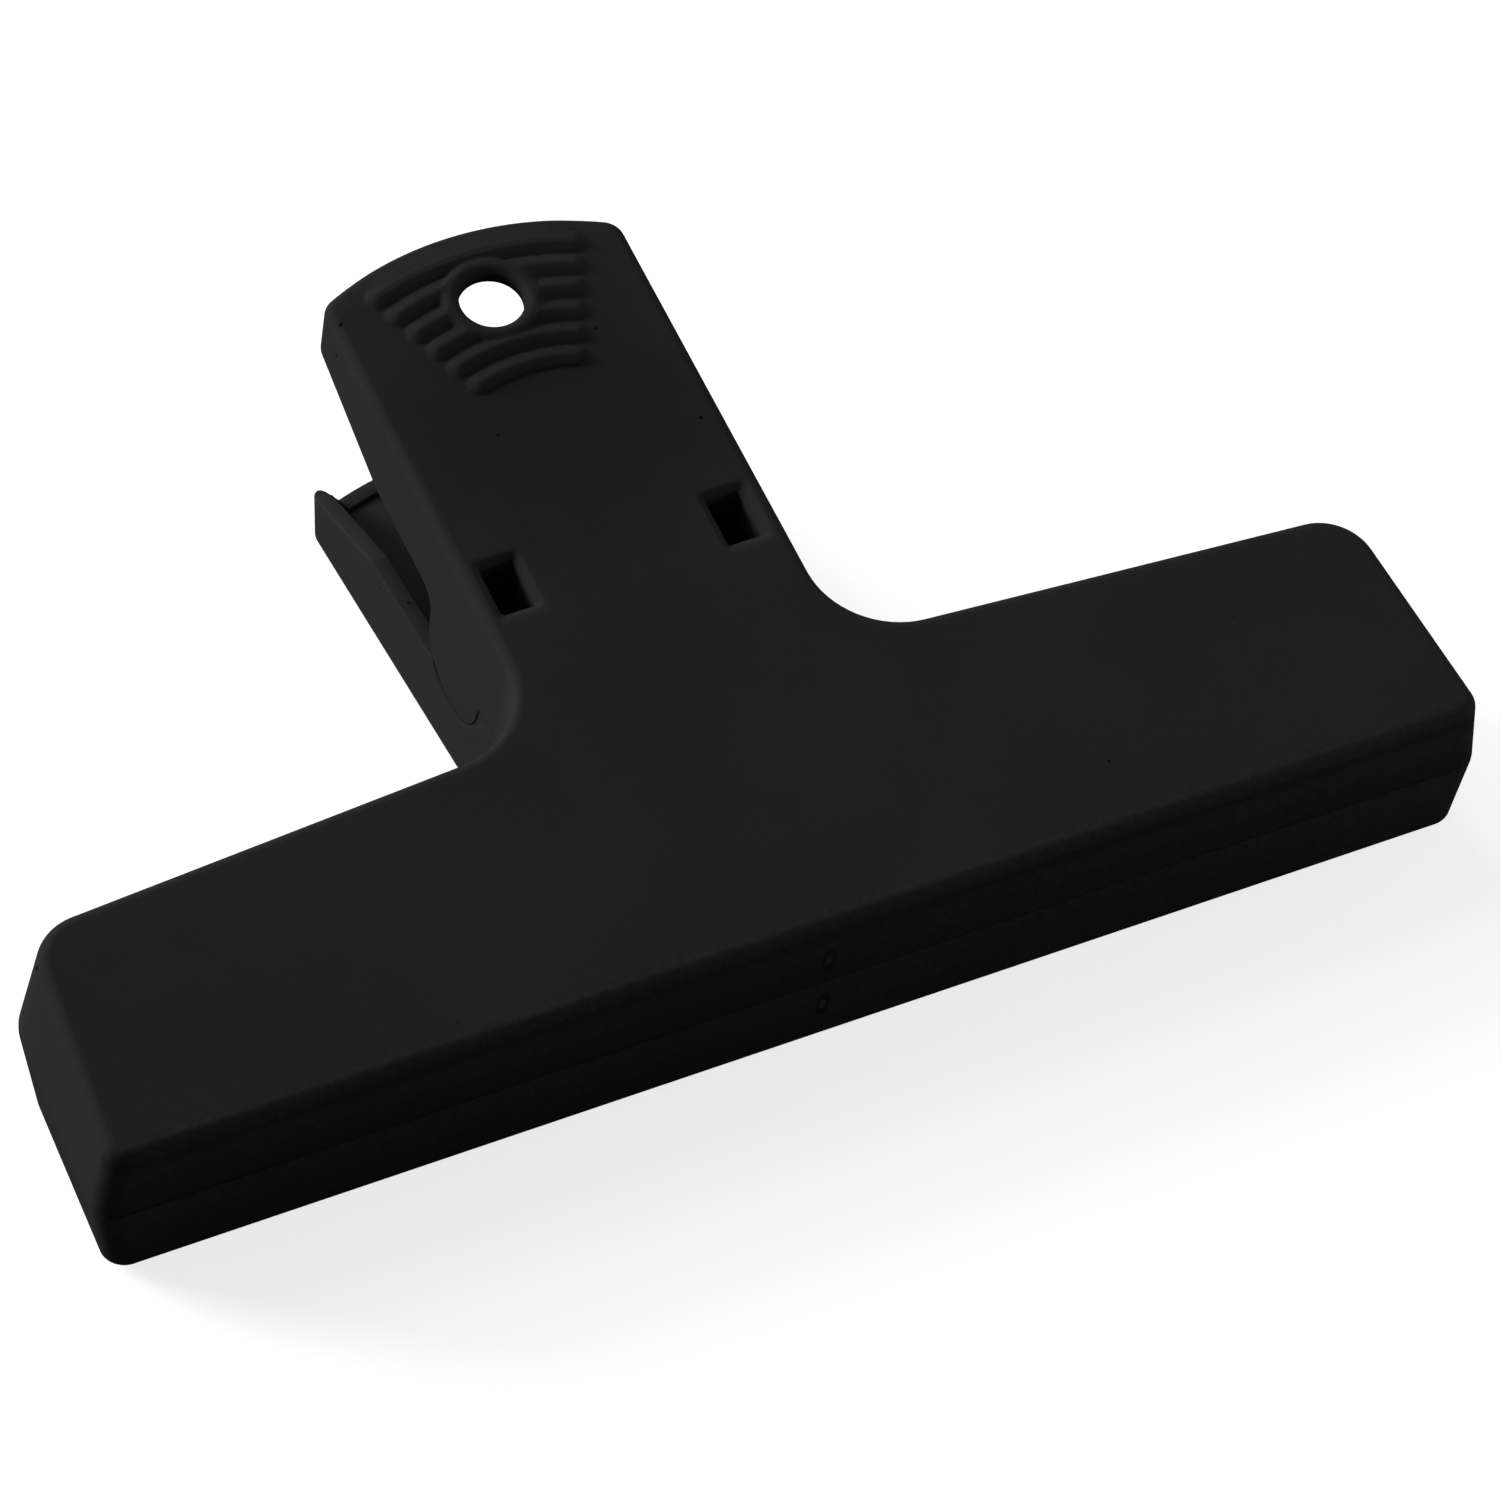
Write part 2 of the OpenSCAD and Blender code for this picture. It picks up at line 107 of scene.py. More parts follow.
def face_grid(inset, columns, handle_ys, keep, fine):
    """Rows across the T from side to side, straight in the jaw and arched round the fan centre at the tip.

    A row's middle columns keep their places, and the outer ones stretch or shrink to reach its end:
    x = held + (column - held) / (half width - held) * (end - held). An arch adds the fall of a circle
    from the middle to the end, sqrt(radius^2 - x^2) - sqrt(radius^2 - end^2), which sets in gradually.
    Returns the points, and the sides' outward directions and leans."""
    ends, out, lean = right_side(inset, handle_ys, fine)
    width = HANDLE_HALF - inset
    x_end, y_end = ends[:, :1], ends[:, 1:]
    size = np.abs(columns)[None]
    held = np.where(x_end > width, keep, HOLE_BLOCK)
    stretched = held + (size - held) / (width - held) * (x_end - held)
    x = np.sign(columns) * np.where(size <= held, size, stretched)
    low = FAN_Y + math.sqrt(ARCH_RADIUS**2 - width**2)
    share = np.clip((y_end - ARCH_START) / (low - ARCH_START), 0, 1)
    share = share * share * (3 - 2 * share)
    radius = np.where(y_end > low, np.hypot(x_end, y_end - FAN_Y), ARCH_RADIUS)
    reach = np.where(y_end > low, x_end, np.minimum(x_end, width))
    arch = np.sqrt(np.maximum(radius**2 - x**2, 0)) - np.sqrt(radius**2 - reach**2)
    y = y_end + np.where(share > 0, share * arch, 0)
    return np.stack([x, y], 2), out, lean


# ---- Raised grip, hang hole and windows ----
# Six raised arcs with rounded ends and a ring round the hang hole stand 0.65 mm proud of the handle, so
# thumb and finger don't slip. Two windows with rounded rims let the mould form the hooks inside, and a
# moulded sleeve below each window closes it off from the hollow handle.
GRIP_FAN, GRIP_HEIGHT, BEAD, RIB_HALF = math.radians(22.4), 0.65, 1.15, 1.56
RIB_INSET, RIB_PITCH, RIB_SLOPE, RIDGE_BEND, RIDGE_LIFT = 3.53, 3.0, 0.5, 0.12, 0.35
RIB_RADII = FAN_RADIUS - RIB_INSET - RIB_PITCH * np.arange(6)
LAST_SLOPE, FOOT_SLOPE, FOOT_REACH = 0.45, 4, 1.2
APRON_HEIGHT, APRON_SLOPE, APRON_RISE, APRON_ENDS = 0.58, 0.17, (-0.3, 0.6), (-4.5, 4.4)
CAP_DROP, CAP_RISE, DROOP, DROOP_RADIUS = 0.05, (-1.5, 1.0), 0.04, 34.2
SINK = BEAD - GRIP_HEIGHT
HOLE_INSET, HOLE_RADIUS, HOLE_BEVEL = 9.7, 3.5, 0.8
HOLE_Y = LENGTH - HOLE_INSET
RING_RADIUS, RING_CLEARANCE = HOLE_RADIUS + 1.05, 0.5
WINDOW_X, WINDOW_Y, WINDOW_HALF, WINDOW_CORNER = {-1: -12.6, 1: 13.05}, 48.85, np.array([1.9, 3.0]), 0.25
WINDOW_BEVEL, BEVEL_DEPTH, BEVEL_REACH, SLEEVE_WALL, SLEEVE_DEPTH = 0.8, 0.6, 15.7, 0.3, 10.3


def grip_height(p):
    """Height over the outer face: arched ribs like rounded roofs, and a round bead round the hole.

    A rib is the lower of a roof, grip - slope (sqrt(distance^2 + bend) - lift), and of a sunk bead, radius
    sqrt(1 - (distance / half width)^2) - sink. The last rib has a steep foot, a flat apron slopes from the
    first to the tip, and all sink as they reach the ring. Smooth maxima join them: max(a, b) +
    (soft - |a - b|)^2 / (4 soft) where they come close. A cap cuts them off at the grip's height, a little
    lower from the first rib on, and the tip droops by the square of how far it lies past a radius."""
    dx, dy = p[..., 0], p[..., 1] - FAN_Y
    radius, angle = np.hypot(dx, dy), np.arctan2(np.abs(dx), dy)
    ring = np.hypot(dx, p[..., 1] - HOLE_Y)

    def join(a, b, soft):
        return np.maximum(a, b) + np.maximum(soft - np.abs(a - b), 0) ** 2 / (4 * soft)

    def bead(gap, half):
        return BEAD * np.sqrt(np.maximum(1 - (gap / half) ** 2, 0)) - SINK

    def roof(gap, slope):
        return GRIP_HEIGHT - slope * (np.sqrt(gap**2 + RIDGE_BEND) - RIDGE_LIFT)

    def rise(value, start, over):
        share = np.clip((value - start) / over, 0, 1)
        return share**2 * (3 - 2 * share)

    ribs = np.full(dx.shape, -1.0)
    for r in RIB_RADII:
        past = np.maximum(angle - GRIP_FAN + RIB_HALF / r, 0) * radius
        gap = np.hypot(radius - r, past)
        rib = np.minimum(roof(gap, RIB_SLOPE), bead(gap, RIB_HALF))
        steep = np.minimum(roof(gap, LAST_SLOPE), FOOT_SLOPE * (FOOT_REACH - gap))
        rib = np.where((r == RIB_RADII[-1]) & (radius < r), np.maximum(steep, -SINK), rib)
        ribs = join(ribs, rib, soft=0.05)
    beyond, past = radius - RIB_RADII[0], (angle - GRIP_FAN) * radius
    apron = (APRON_HEIGHT - APRON_SLOPE * beyond) * rise(beyond, *APRON_RISE)
    apron = apron * (1 - rise(past, *APRON_ENDS))
    ribs = join(ribs, apron, soft=0.15)
    ribs = np.maximum(ribs - 2 * np.maximum(RING_RADIUS + RING_CLEARANCE - ring, 0) ** 2, -1)
    rim = bead(ring - RING_RADIUS, BEAD)
    cap = GRIP_HEIGHT - CAP_DROP * rise(beyond, *CAP_RISE)
    droop = DROOP * np.maximum(radius - DROOP_RADIUS, 0) ** 2 * (dy > 0)
    return np.minimum(join(join(ribs, 0, soft=0.1), rim, soft=0.4), cap) - droop


class Skin:
    """Points and quads of one mesh, gathered as arrays."""

    def __init__(self):
        self.points, self.quads, self.count = [], [], 0

    def add(self, x, y, z):
        """Adds points from three arrays of one shape, and returns their numbers in that shape."""
        x, y, z = np.broadcast_arrays(x, y, z)
        self.points.append(np.stack([x.ravel(), y.ravel(), z.ravel()], 1))
        number = np.arange(self.count, self.count + x.size).reshape(x.shape)
        self.count += x.size
        return number

    def sheet(self, number, ring=False, hole=None):
        """Quads over a grid of point numbers. A ring's last column joins its first; hole drops quads."""
        if ring:
            number = np.concatenate([number, number[:, :1]], 1)
        quads = np.stack([number[:-1, :-1], number[:-1, 1:], number[1:, 1:], number[1:, :-1]], 2)
        self.quads.append(quads.reshape(-1, 4) if hole is None else quads[~hole])

    def stack(self, x, y, z):
        """Closed loops stacked along the first axis, joined as a ring."""
        number = self.add(x, y, z)
        self.sheet(number, ring=True)
        return number

    def piece(self, name, place, smooth=50):
        """Makes the mesh object, with its points carried to the row's frame by place, in metres."""
        points = place(np.vstack(self.points)) / 1000
        mesh = bpy.data.meshes.new(name)
        mesh.from_pydata(points.tolist(), [], np.vstack(self.quads).tolist())
        mesh.validate()
        mesh.shade_smooth()
        mesh.set_sharp_from_angle(angle=math.radians(smooth))
        piece = bpy.data.objects.new(name, mesh)
        bpy.context.scene.collection.objects.link(piece)
        return piece


def border(number, rows, cols):
    """Point numbers round a block of a grid, in order, and the mask of the quads inside it."""
    (a, b), (c, d) = rows, cols
    loop = [number[a, c:d], number[a:b, d], number[b, d:c:-1], number[b:a:-1, c]]
    inside = np.zeros((number.shape[0] - 1, number.shape[1] - 1), bool)
    inside[a:b, c:d] = True
    return np.concatenate(loop), inside


def rounded_rim(loop_xy, centre, half, corner):
    """Each border point's nearest point on a rectangle with rounded corners: core point + corner radius."""
    core = np.clip(loop_xy - centre, -(half - corner), half - corner)
    away = loop_xy - centre - core
    return centre + core + corner * away / np.linalg.norm(away, axis=1, keepdims=True)


# ---- Skirt, ear and recess ----
# The skirt runs round the whole moulding, down to the parting plane at the jaw and shallower along the
# handle. One side carries a round ear, and the other has the recess in which the other half's ear turns.
HINGE_Y, EAR_RADIUS, TURN = 50.1, 6.2, 6.55
HINGE_Z = LIP_DEPTH + HINGE_Y * math.tan(HALF_ANGLE)
SKIRT, SKIRT_END, SKIRT_KNEE, SEAM, RIM_ROUND = 11.0, 5.5, 71.5, 0.08, 0.22
EAR_FILLET, MOUTH, RECESS_LIP = HINGE_Z - SKIRT - 1.2, TURN + 1.6, math.radians(236)
END_WALL, END_SLOPE, END_Y, TIP_DEPTH = 13.4, 3.4, tip_y - 3, 2.6


def rim_depth(x, y, side):
    """Depth of the skirt's edge: parting plane, handle skirt, then the ear's or the recess's circle.

    At the tip it drops along a quarter of a sine wave to the low end wall."""
    parting = LIP_DEPTH + y * math.tan(HALF_ANGLE) - SEAM
    fall = (SKIRT - SKIRT_END) / (LENGTH - SKIRT_KNEE)
    depth = np.where(y < HINGE_Y, parting, SKIRT - fall * np.maximum(y - SKIRT_KNEE, 0))
    off = y - HINGE_Y
    ear = HINGE_Z + np.sqrt(np.maximum(EAR_RADIUS**2 - off**2, 0))
    past = np.clip(EAR_RADIUS + EAR_FILLET - off, 0, EAR_FILLET)
    foot = SKIRT + EAR_FILLET - np.sqrt(EAR_FILLET**2 - past**2)
    foot = np.where((off > 0) & (off < EAR_RADIUS + EAR_FILLET), foot, 0)
    ear = np.where(np.abs(off) <= EAR_RADIUS, ear, foot)
    lip, lip_depth = TURN * math.cos(RECESS_LIP), HINGE_Z + TURN * math.sin(RECESS_LIP)
    mouth_depth = LIP_DEPTH + (HINGE_Y - MOUTH) * math.tan(HALF_ANGLE) - SEAM
    slope = mouth_depth + (lip_depth - mouth_depth) * (off + MOUTH) / (lip + MOUTH)
    recess = np.where(off < lip, slope, HINGE_Z - np.sqrt(np.maximum(TURN**2 - off**2, 0)))
    recess = np.where((off > -MOUTH) & (off < TURN), recess, np.inf)
    depth = np.where(side > 0, np.maximum(depth, ear), depth)
    depth = np.where(side < 0, np.minimum(depth, recess), depth)
    corner = np.clip((np.abs(x) - END_WALL) / END_SLOPE, 0, 1)
    low = TIP_DEPTH + (depth - TIP_DEPTH) * np.sin(math.pi / 2 * corner)
    return np.where(y > END_Y, low, depth)


def outer_face(skin):
    """The flat outer face with its raised grip, bevelled windows and hang hole. Returns its border.

    A grid over the T loses a block for each opening. Rings blend from the block's border to the hole's rim,
    border + share * (rim - border), and go down its bore, or down a window's bevel, shaft and sleeve."""
    half_face, near, far, front, back = HANDLE_HALF - EDGE, 9.9, 15.8, 44.45, 52.95
    # Columns and rows lie closer where the grip, the windows, the ear and the recess need them
    fine_x = [
        np.linspace(0, HOLE_BLOCK, 26),
        np.linspace(HOLE_BLOCK, near, 15),
        np.linspace(near, far, 26),
        np.linspace(far, half_face, 5),
    ]
    columns = np.unique(np.round(np.concatenate(fine_x), 6))
    columns = np.concatenate([-columns[:0:-1], columns])
    turn = np.linspace(0.02, math.pi - 0.02, 26)
    rows = [
        np.linspace(41.5, front, 5),
        np.linspace(front, back, 34),
        np.linspace(back, 61, 10),
        np.sqrt(np.linspace(ARCH_RADIUS, FAN_RADIUS - 2, 130) ** 2 - half_face**2) + FAN_Y,
        HINGE_Y - EAR_RADIUS * np.cos(turn),
        HINGE_Y - TURN * np.cos(turn),
        HINGE_Y + EAR_RADIUS + 2.6 * np.linspace(0, 1, 8) ** 2,
    ]
    rows = np.unique(np.round(np.concatenate(rows), 3))
    needed = np.isin(rows, [front, back])
    rows = rows[needed | (np.diff(rows, prepend=0) > 0.03)]
    xy, out, lean = face_grid(EDGE, columns, rows, keep=far, fine=1)
    number = skin.add(xy[..., 0], xy[..., 1], -grip_height(xy))

    middle = len(columns) // 2
    side_y = xy[:, -1, 1]
    spread = np.hypot(half_face, side_y - FAN_Y)
    grip = np.where((side_y > FAN_Y + 4.5) & (side_y < tip_y))[0]
    block = [HOLE_Y - FAN_Y + reach for reach in (-HOLE_BLOCK, HOLE_BLOCK)]
    first, last = (grip[np.argmin(np.abs(spread[grip] - radius))] for radius in block)
    half_cols = np.searchsorted(columns[middle:], HOLE_BLOCK - 1e-6)
    loop, hole = border(number, (first, last), (middle - half_cols, middle + half_cols))
    flat = np.vstack([p[:, :2] for p in skin.points])
    centre = np.array([0, HOLE_Y])
    from_hole = flat[loop] - centre
    rim = centre + HOLE_RADIUS * from_hole / np.linalg.norm(from_hole, axis=1, keepdims=True)
    t = np.linspace(0, 1, 46)[1:, None, None] ** 0.85
    patch = flat[loop] + t * (rim - flat[loop])
    inner = skin.add(patch[..., 0], patch[..., 1], -grip_height(patch))
    skin.sheet(np.vstack([loop[None], inner]), ring=True)
    outward = (rim - centre) / HOLE_RADIUS
    # The bore widens from 0.8 mm before its inner end, and its rings crowd where that bevel starts
    down = np.array([0.3, 0.8, 1.2, 1.27, 1.3, 1.33, PLATE])[:, None]
    wide = HOLE_RADIUS + np.maximum(down - (PLATE - HOLE_BEVEL), 0)
    bore = skin.add(outward[:, 0] * wide, HOLE_Y + outward[:, 1] * wide, down)
    skin.sheet(np.vstack([inner[-1:], bore]), ring=True)

    for side in (-1, 1):
        y_rows = [np.argmin(np.abs(side_y - y)) for y in (front, back)]
        x_cols = sorted(np.argmin(np.abs(columns - side * x)) for x in (near, far))
        loop, gap = border(number, y_rows, x_cols)
        hole |= gap
        centre = np.array([WINDOW_X[side], WINDOW_Y])
        around = flat[loop]
        # The bevel takes up what room is left between the window and the handle's edge
        spare = max(BEVEL_REACH - abs(WINDOW_X[side]) - WINDOW_HALF[0] - WINDOW_BEVEL, 0) / 2
        rings, z = [], []
        for t in np.linspace(0, 1, 9):
            grow, shift = WINDOW_BEVEL * (1 - t), np.array([spare * (1 - t), 0])
            half, corner = WINDOW_HALF + grow + shift, WINDOW_CORNER + grow
            rings.append(rounded_rim(around, centre + side * shift, half, corner))
            z.append(BEVEL_DEPTH * t**1.15)
        # The rings go on down the shaft, round the sleeve's end and up its outside to a flange at the plate
        shaft = rings[-1]
        sleeve = rounded_rim(around, centre, WINDOW_HALF + SLEEVE_WALL, corner=0.5)
        flange = rounded_rim(around, centre, WINDOW_HALF + 2 * SLEEVE_WALL, corner=0.8)
        rings = np.array(rings + [shaft, shaft, sleeve, sleeve, flange])
        z += [PLATE, SLEEVE_DEPTH, SLEEVE_DEPTH, PLATE - 0.01, PLATE - 0.01]
        rim = skin.add(rings[..., 0], rings[..., 1], np.array(z)[:, None])
        skin.sheet(np.vstack([loop[None], rim]), ring=True)
    skin.sheet(number, hole=hole)

    # The border runs up the right side, over the tip, down the left side and back along the front
    tip_out = xy[-1, -2:0:-1] - (0, FAN_Y)
    tip_out /= np.linalg.norm(tip_out, axis=1, keepdims=True)
    flip = np.array([-1, 1])
    front_lean = np.stack([FLARE * xy[0, 1:-1, 0] / xy[0, -1, 0], np.full(len(columns) - 2, -NOSE)], 1)
    loop = np.concatenate([number[:, -1], number[-1, -2:0:-1], number[::-1, 0], number[0, 1:-1]])
    away = np.vstack([out, tip_out, out[::-1] * flip, np.tile([0, -1], (len(columns) - 2, 1))])
    leans = np.vstack([lean, 0 * tip_out, lean[::-1] * flip, front_lean])
    side = np.repeat([1, 0, -1, 0], [len(out), len(tip_out), len(out), len(front_lean)])
    return loop, flat[loop], -grip_height(flat[loop]), away, leans, side


def skirt(skin, loop, face_edge, face_depth, away, lean, side):
    """Rounded edge, outer wall, rounded rim and inner wall, carried round the face's border.

    A profile point is an offset outwards and a depth, and the wall leans outwards as it gets deeper."""
    full = face_edge + EDGE * away
    side = np.where(full[:, 1] > neck_y, side, 0)
    depth = rim_depth(full[:, 0], full[:, 1] + lean[:, 1], side)
    a = np.linspace(0, math.pi / 2, 11)[1:, None]
    r = RIM_ROUND
    offsets = [EDGE * np.sin(a) + 0 * depth]
    depths = [face_depth + (EDGE - face_depth) * (1 - np.cos(a))]
    down = np.linspace(0, 1, 9)[1:, None]
    offsets.append(EDGE + 0 * down * depth)
    depths.append(EDGE + (depth - r - EDGE) * down)
    a = a[::2]
    offsets.append(EDGE - r * (1 - np.cos(a)) + 0 * depth)
    depths.append(depth - r * (1 - np.sin(a)))
    offsets.append(EDGE - WALL + r * (1 - np.sin(a)) + 0 * depth)
    depths.append(depth - r * (1 - np.cos(a)))
    up = np.linspace(0, 1, 5)[1:, None]
    offsets.append(EDGE - WALL + 0 * up * depth)
    depths.append(depth - r + (PLATE - depth + r) * up)
    offset, z = np.vstack(offsets), np.vstack(depths)
    p = face_edge + offset[..., None] * away + lean * (z / LIP_DEPTH)[..., None]
    wall = skin.add(p[..., 0], p[..., 1], z)
    skin.sheet(np.vstack([loop[None], wall]), ring=True)


def inner_floor(skin):
    """The inside of the outer face, a plain sheet with openings for the hang hole and the windows.

    It is the same grid over the T with fewer rows. A flat ring, point * radius / distance, rounds off the
    hang hole's opening."""
    near, far, front, back, edge = 10.75, 14.95, 45.3, 52.1, 15.05
    xs = [0, 2.4, 4.9, 7.5, near, 12.85, far, edge, 15.2]
    columns = np.array([-x for x in xs[:0:-1]] + xs)
    rows = np.array([42, front, 48.7, back, 56, 60.5, 63.5, 67, 70, 73, 76, 79, 81.5, 84, 86])
    xy, _, lean = face_grid(WALL, columns, rows, keep=edge, fine=0.75)
    xy[:, :, 1] += lean[:, 1:] * PLATE / LIP_DEPTH
    xy[:, :, 0] += lean[:, :1] * PLATE / LIP_DEPTH * xy[:, :, 0] / xy[:, -1:, 0]
    number = skin.add(xy[..., 0], xy[..., 1], PLATE)
    middle_y = xy[:, len(xs) - 1, 1]
    clear = HOLE_RADIUS + HOLE_BEVEL + 0.9
    span = [np.where(middle_y < HOLE_Y - clear)[0][-1], np.where(middle_y > HOLE_Y + clear)[0][0]]
    loop, hole = border(number, span, (len(xs) - 4, len(xs) + 2))
    start = sum(len(p) for p in skin.points[:-1])
    around = skin.points[-1][loop - start, :2] - (0, HOLE_Y)
    many, following = np.linspace(0, 1, 7)[:-1, None], np.roll(around, -1, 0)
    around = (around[:, None] + many * (following - around)[:, None]).reshape(-1, 2)
    circle = around / np.linalg.norm(around, axis=1, keepdims=True) * (HOLE_RADIUS + HOLE_BEVEL)
    ring = np.stack([around, circle])
    skin.stack(ring[..., 0], HOLE_Y + ring[..., 1], PLATE + np.zeros(ring.shape[:2]))
    for side in (-1, 1):
        y_rows = [np.argmin(np.abs(xy[:, -1, 1] - y)) for y in (front, back)]
        x_cols = sorted(np.argmin(np.abs(columns - side * x)) for x in (near, far))
        hole |= border(number, y_rows, x_cols)[1]
    skin.sheet(number[:, ::-1], hole=hole[:, ::-1])


# ---- Ribs and hooks inside ----
# Low ribs, moulded with the half, stiffen the jaw and the handle and guide the spring's legs. Two hooks
# reach down behind the windows and snap over the pin, each open on the side towards the handle.
RIB, RIB_HEIGHT, RIB_ROUND, BURIED = 1.2, 2.4, 0.25, 0.3
JAW_RIBS, RAIL_Y, RAIL_LONG, RAIL_HEIGHT, RAIL_GAP = (24, 41, 58), 58, 18, 4, 0.3
WIRE, LEG_X, PIN_RADIUS, PIN_GAP, SIDE_GAP = 0.8, 6.2, 1.5, 0.05, 0.25
HOOK_WIDE, HOOK_RADIUS, HOOK_FOOT = 1.8, 3.9, 4.3
HOOK_BACK, HOOK_THROAT, HOOK_BORE = (-20.5, 170), (255, 300.5), (17, 263)
NOTCH_TURN, NOTCH_DEPTH, NOTCH_WALL, NOTCH_HIGH, NOTCH_GAP = (187, 228), 0.12, 1.7, 0.6, 0.05


def inner_rib(skin, x, y, long, deep, high):
    """A straight rib with softened top edges: rectangles of growing depth, the last one drawn in."""
    part = 0.32 * RIB_ROUND  # Halfway round a quarter circle, a point lies about this far from both sides
    inset = np.array([0, 0, part, RIB_ROUND, min(long, deep) / 2])
    z = PLATE + np.array([-BURIED, high - RIB_ROUND, high - part, high, high])
    px = np.stack([x + inset, x + long - inset, x + long - inset, x + inset], 1)
    py = np.stack([y + inset, y + inset, y + deep - inset, y + deep - inset], 1)
    skin.stack(px, py, np.repeat(z[:, None], 4, 1))


def slab(skin, x0, thick, edge, other):
    """A flat plate square to X, between two lines of (y, z) points that run the same way."""
    loop = np.vstack([edge, other[::-1]])
    x = np.array([x0, x0 + thick])[:, None] + 0 * loop[:, 0]
    skin.stack(x, loop[:, 0] + 0 * x, loop[:, 1] + 0 * x)
    for side, flip in ((x0, 1), (x0 + thick, -1)):
        pair = np.stack([edge, other])[::flip]
        skin.sheet(skin.add(side, pair[..., 0], pair[..., 1]))


def hook(skin, x0):
    """A flat hook: its side view is a foot, a round back and a bore open towards the handle.

    Both lines are hinge + radius * (cos, sin) of an angle; the outer one has two corners at the foot."""
    foot = WINDOW_Y - WINDOW_HALF[1] - SIDE_GAP
    bore = PIN_RADIUS + PIN_GAP
    corners = [[foot - HOOK_FOOT, PLATE - BURIED], [foot, PLATE - BURIED]]
    arcs = ((HOOK_BACK, 40), (HOOK_THROAT, 12), (HOOK_BORE, 54))
    turns = [np.radians(np.linspace(*arc, steps)) for arc, steps in arcs]
    back, throat, inner = (np.stack([np.cos(turn), np.sin(turn)], 1) for turn in turns)
    outer = (HINGE_Y, HINGE_Z) + HOOK_RADIUS * np.vstack([back, throat])
    outer = np.insert(outer, [len(back)] * len(corners), corners, axis=0)
    slab(skin, x0, HOOK_WIDE, outer, (HINGE_Y, HINGE_Z) + bore * inner)


def inner_parts(skin):
    """All ribs and hooks of one moulding."""
    for side in (-1, 1):
        for x in JAW_RIBS:
            back = JAW_DEPTH + (JAW_HALF - END_TAPER - x) * math.tan(back_slant) - WALL / 2
            inner_rib(skin, side * x - RIB / 2, WALL / 2, RIB, back - WALL / 2, RIB_HEIGHT)
        for x in (LEG_X, -LEG_X):
            rail = x + side * (WIRE + RAIL_GAP + RIB / 2)
            inner_rib(skin, rail - RIB / 2, RAIL_Y, RIB, RAIL_LONG, RAIL_HEIGHT)
    for half, y in ((JAW_HALF - END_TAPER, JAW_DEPTH / 2), (HANDLE_HALF, neck_y)):
        inner_rib(skin, -half + WALL / 2, y, 2 * half - WALL, RIB, RIB_HEIGHT)
    # In front of the recess the wall is a little thinner, and so leaves a shallow notch by the other's ear
    turn = np.radians(np.linspace(*NOTCH_TURN, 12))
    near = EAR_RADIUS + NOTCH_GAP
    around = np.stack([HINGE_Y + near * np.cos(turn), HINGE_Z + near * np.sin(turn)], 1)
    lead = around[0] + np.linspace(-2.2, -0.1, 6)[:, None] * (math.cos(HALF_ANGLE), math.sin(HALF_ANGLE))
    top = np.vstack([lead, around])
    bottom = top[:1] + np.linspace(0.02, 1, 18)[:, None] * (top[-1] - top[:1])
    slab(skin, -HANDLE_HALF + NOTCH_DEPTH, NOTCH_WALL, top, bottom - (0, NOTCH_HIGH))
    outboard = HANDLE_HALF - WALL - SIDE_GAP
    hook(skin, -outboard)
    hook(skin, outboard - 2 * HOOK_WIDE - SIDE_GAP)


# ---- Places of the two mouldings ----
# The lower one lies on its grip ribs. The upper one is the same moulding turned over and tilted about the
# hinge, so that the jaws' lips meet. The origin is halfway between the clip's front and the handle's tip.
nose_back = HINGE_Y + NOSE * EDGE / LIP_DEPTH
front_end = HINGE_Y - nose_back * math.cos(2 * HALF_ANGLE) - (HINGE_Z - EDGE) * math.sin(2 * HALF_ANGLE)
CENTRE_Y = (LENGTH + front_end) / 2
hinge = np.array([0, HINGE_Y - CENTRE_Y, HINGE_Z + GRIP_HEIGHT])


def lower_place(p):
    """Row position of a point of the lower moulding."""
    return p + (0, -CENTRE_Y, GRIP_HEIGHT)


def upper_place(p):
    """Row position of a point of the upper moulding: turned over across the hinge, then tilted."""
    y, z = p[:, 1] - HINGE_Y, HINGE_Z - p[:, 2]
    c, s = math.cos(2 * HALF_ANGLE), math.sin(2 * HALF_ANGLE)
    return hinge + np.stack([-p[:, 0], y * c - z * s, y * s + z * c], 1)


halves = {}
for node, body, place in (("lower_half", "lower", lower_place), ("upper_half", "upper", upper_place)):
    skin = Skin()
    skirt(skin, *outer_face(skin))
    inner_floor(skin)
    inner_parts(skin)
    half = skin.piece(node + "_moulding", place)
    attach(half, body)
    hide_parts(node)
    halves[node] = half


# ---- Black moulded plastic ----
# Satin black polypropylene, dyed through and left as it comes from the mould: a faint cloudy tone, a fine
# grain, a few small pits and a gate mark on each. Painted shade darkens the pits, the gate's dimple, a
# broad patch on the handle and bands along the front walls, and a painted highlight lightens the gate's
# nub.
def grey(value, blue=0.0):
    """A colour of one value, with a little more of it in the blue."""
    return (value, value, value + blue, 1)


